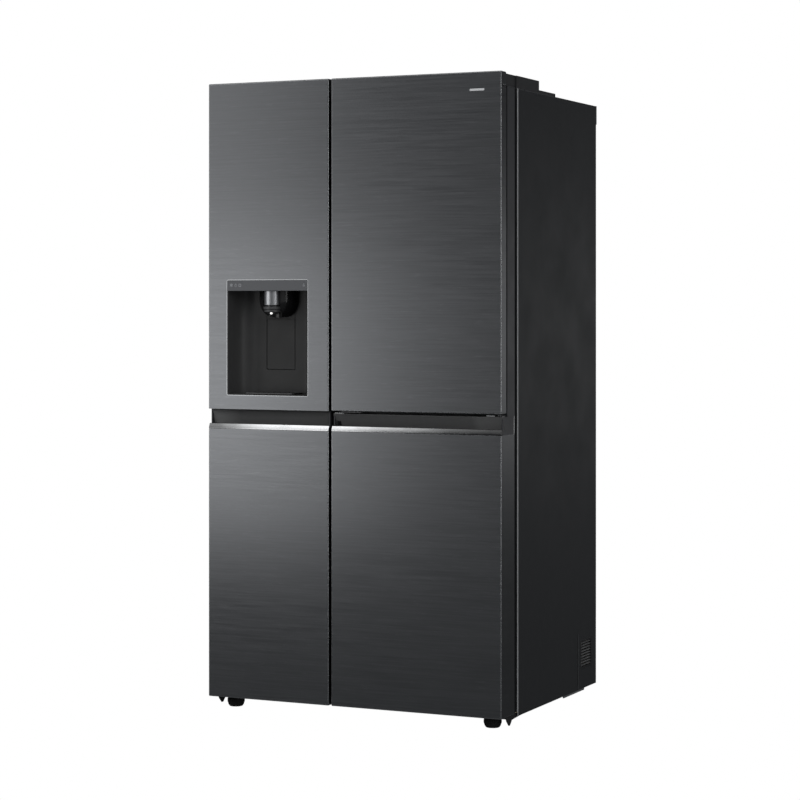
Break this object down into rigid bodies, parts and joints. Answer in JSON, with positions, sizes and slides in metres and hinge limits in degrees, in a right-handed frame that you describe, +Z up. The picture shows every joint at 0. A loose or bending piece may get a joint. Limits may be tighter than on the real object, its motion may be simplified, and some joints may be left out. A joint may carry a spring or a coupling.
{
  "type": "side-by-side refrigerator with dispenser",
  "caption": "Side-by-side refrigerator in dark brushed steel, with a water and ice dispenser in the freezer door, an outer door on the fridge door, and recessed handles.",
  "frame": {"origin": "on the floor, at the centre of the footprint", "axes": "+Z up, -Y towards a person facing the doors, +X to that person's right"},
  "size_m": [0.913, 0.735, 1.79],
  "materials": {
    "brushed_dark_steel": "dark horizontally brushed stainless steel",
    "painted_side": "dark grey painted steel, satin",
    "zinc_steel": "galvanised sheet steel",
    "chrome_trim": "polished bright trim",
    "dark_plastic": "dark grey moulded plastic, satin",
    "black_plastic": "black moulded plastic, semi-gloss",
    "white_liner": "white vacuum-formed liner plastic",
    "clear_plastic": "clear storage-bin plastic",
    "shelf_glass": "tempered shelf glass with a light edge trim",
    "rubber": "black rubber",
    "gasket": "grey magnetic door gasket",
    "foam": "rigid insulation foam, cream",
    "iron": "black enamelled steel and iron"
  },
  "bodies": {
    "cabinet": {"cabinet_shell": "painted_side", "cabinet_back": "zinc_steel", "cabinet_base": "zinc_steel", "insulation_foam": "foam", "freezer_liner": "white_liner", "fridge_liner": "white_liner", "freezer_duct_cover": "white_liner", "fridge_duct_cover": "white_liner", "freezer_shelf_lower": "shelf_glass", "freezer_shelf_upper": "shelf_glass", "crisper_cover": "shelf_glass", "fridge_shelf_middle": "shelf_glass", "fridge_shelf_upper": "shelf_glass", "machine_room_cover": "zinc_steel", "side_vent_grille": "black_plastic", "compressor": "iron", "condenser": "iron", "lower_hinge_left": "iron", "lower_hinge_right": "iron", "upper_hinge_left": "zinc_steel", "upper_hinge_right": "zinc_steel", "hinge_cover_left": "dark_plastic", "hinge_cover_right": "dark_plastic"},
    "freezer_door": {"freezer_door_frame": "dark_plastic", "freezer_door_upper_panel": "brushed_dark_steel", "freezer_door_lower_panel": "brushed_dark_steel", "freezer_door_handle_trim": "chrome_trim", "freezer_door_liner": "white_liner", "freezer_door_gasket": "gasket", "freezer_door_bin_lower": "clear_plastic", "freezer_door_bin_upper": "clear_plastic", "ice_maker": "white_liner", "dispenser_housing": "black_plastic", "dispenser_control_panel": "black_plastic", "dispenser_nozzle": "chrome_trim", "dispenser_drip_tray": "black_plastic"},
    "fridge_door": {"fridge_door_frame": "dark_plastic", "fridge_door_lower_panel": "brushed_dark_steel", "fridge_door_handle_trim": "chrome_trim", "fridge_door_liner": "white_liner", "fridge_door_gasket": "gasket", "fridge_door_bin_lower": "clear_plastic", "fridge_door_bin_upper": "clear_plastic", "pantry_basket_lower": "clear_plastic", "pantry_basket_upper": "clear_plastic", "outer_door_lower_hinge": "chrome_trim"},
    "outer_door": {"outer_door_panel": "brushed_dark_steel", "outer_door_liner": "white_liner", "outer_door_gasket": "gasket"},
    "dispenser_paddle": {"dispenser_lever": "black_plastic"},
    "release_button": {"outer_door_release_button": "dark_plastic"},
    "freezer_drawer_low": {"freezer_drawer_lower": "clear_plastic"},
    "freezer_drawer_high": {"freezer_drawer_upper": "clear_plastic"},
    "crisper_drawer_low": {"crisper_drawer_lower": "clear_plastic"},
    "crisper_drawer_high": {"crisper_drawer_upper": "clear_plastic"},
    "fan": {"condenser_fan": "black_plastic"},
    "foot_left": {"front_foot_left": "rubber"},
    "foot_right": {"front_foot_right": "rubber"},
    "roller_left": {"rear_roller_left": "rubber"},
    "roller_right": {"rear_roller_right": "rubber"}
  },
  "joints": [
    {"name": "freezer_door_swing", "type": "hinge", "parent": "cabinet", "child": "freezer_door", "pos_m": [-0.4365, -0.3055, 0.9], "axis": [0, 0, -1], "range_deg": [0, 120]},
    {"name": "fridge_door_swing", "type": "hinge", "parent": "cabinet", "child": "fridge_door", "pos_m": [0.4365, -0.3055, 0.9], "axis": [0, 0, 1], "range_deg": [0, 120]},
    {"name": "outer_door_swing", "type": "hinge", "parent": "fridge_door", "child": "outer_door", "pos_m": [0.4435, -0.3475, 1.32], "axis": [0, 0, 1], "range_deg": [0, 95]},
    {"name": "dispenser_lever_press", "type": "hinge", "parent": "freezer_door", "child": "dispenser_paddle", "pos_m": [-0.262, -0.2855, 1.112], "axis": [1, 0, 0], "range_deg": [0, 4], "stiffness_Nm_per_rad": 0.8, "springref_deg": -1.72},
    {"name": "release_button_press", "type": "slide", "parent": "outer_door", "child": "release_button", "axis": [0, 0, 1], "range_m": [0, 0.0035], "stiffness_N_per_m": 300, "springref_m": -0.002},
    {"name": "freezer_drawer_lower_slide", "type": "slide", "parent": "cabinet", "child": "freezer_drawer_low", "axis": [0, -1, 0], "range_m": [0, 0.11]},
    {"name": "freezer_drawer_upper_slide", "type": "slide", "parent": "cabinet", "child": "freezer_drawer_high", "axis": [0, -1, 0], "range_m": [0, 0.11]},
    {"name": "crisper_drawer_lower_slide", "type": "slide", "parent": "cabinet", "child": "crisper_drawer_low", "axis": [0, -1, 0], "range_m": [0, 0.15]},
    {"name": "crisper_drawer_upper_slide", "type": "slide", "parent": "cabinet", "child": "crisper_drawer_high", "axis": [0, -1, 0], "range_m": [0, 0.15]},
    {"name": "condenser_fan_spin", "type": "hinge", "parent": "cabinet", "child": "fan", "pos_m": [0.045, 0.265, 0.115], "axis": [1, 0, 0], "continuous": true},
    {"name": "front_foot_left_turn", "type": "hinge", "parent": "cabinet", "child": "foot_left", "pos_m": [-0.402, -0.3015, 0.016], "axis": [0, 0, 1], "continuous": true},
    {"name": "front_foot_right_turn", "type": "hinge", "parent": "cabinet", "child": "foot_right", "pos_m": [0.402, -0.3015, 0.016], "axis": [0, 0, 1], "continuous": true},
    {"name": "rear_roller_left_spin", "type": "hinge", "parent": "cabinet", "child": "roller_left", "pos_m": [-0.38, 0.2, 0.017], "axis": [1, 0, 0], "continuous": true},
    {"name": "rear_roller_right_spin", "type": "hinge", "parent": "cabinet", "child": "roller_right", "pos_m": [0.38, 0.2, 0.017], "axis": [1, 0, 0], "continuous": true}
  ]
}
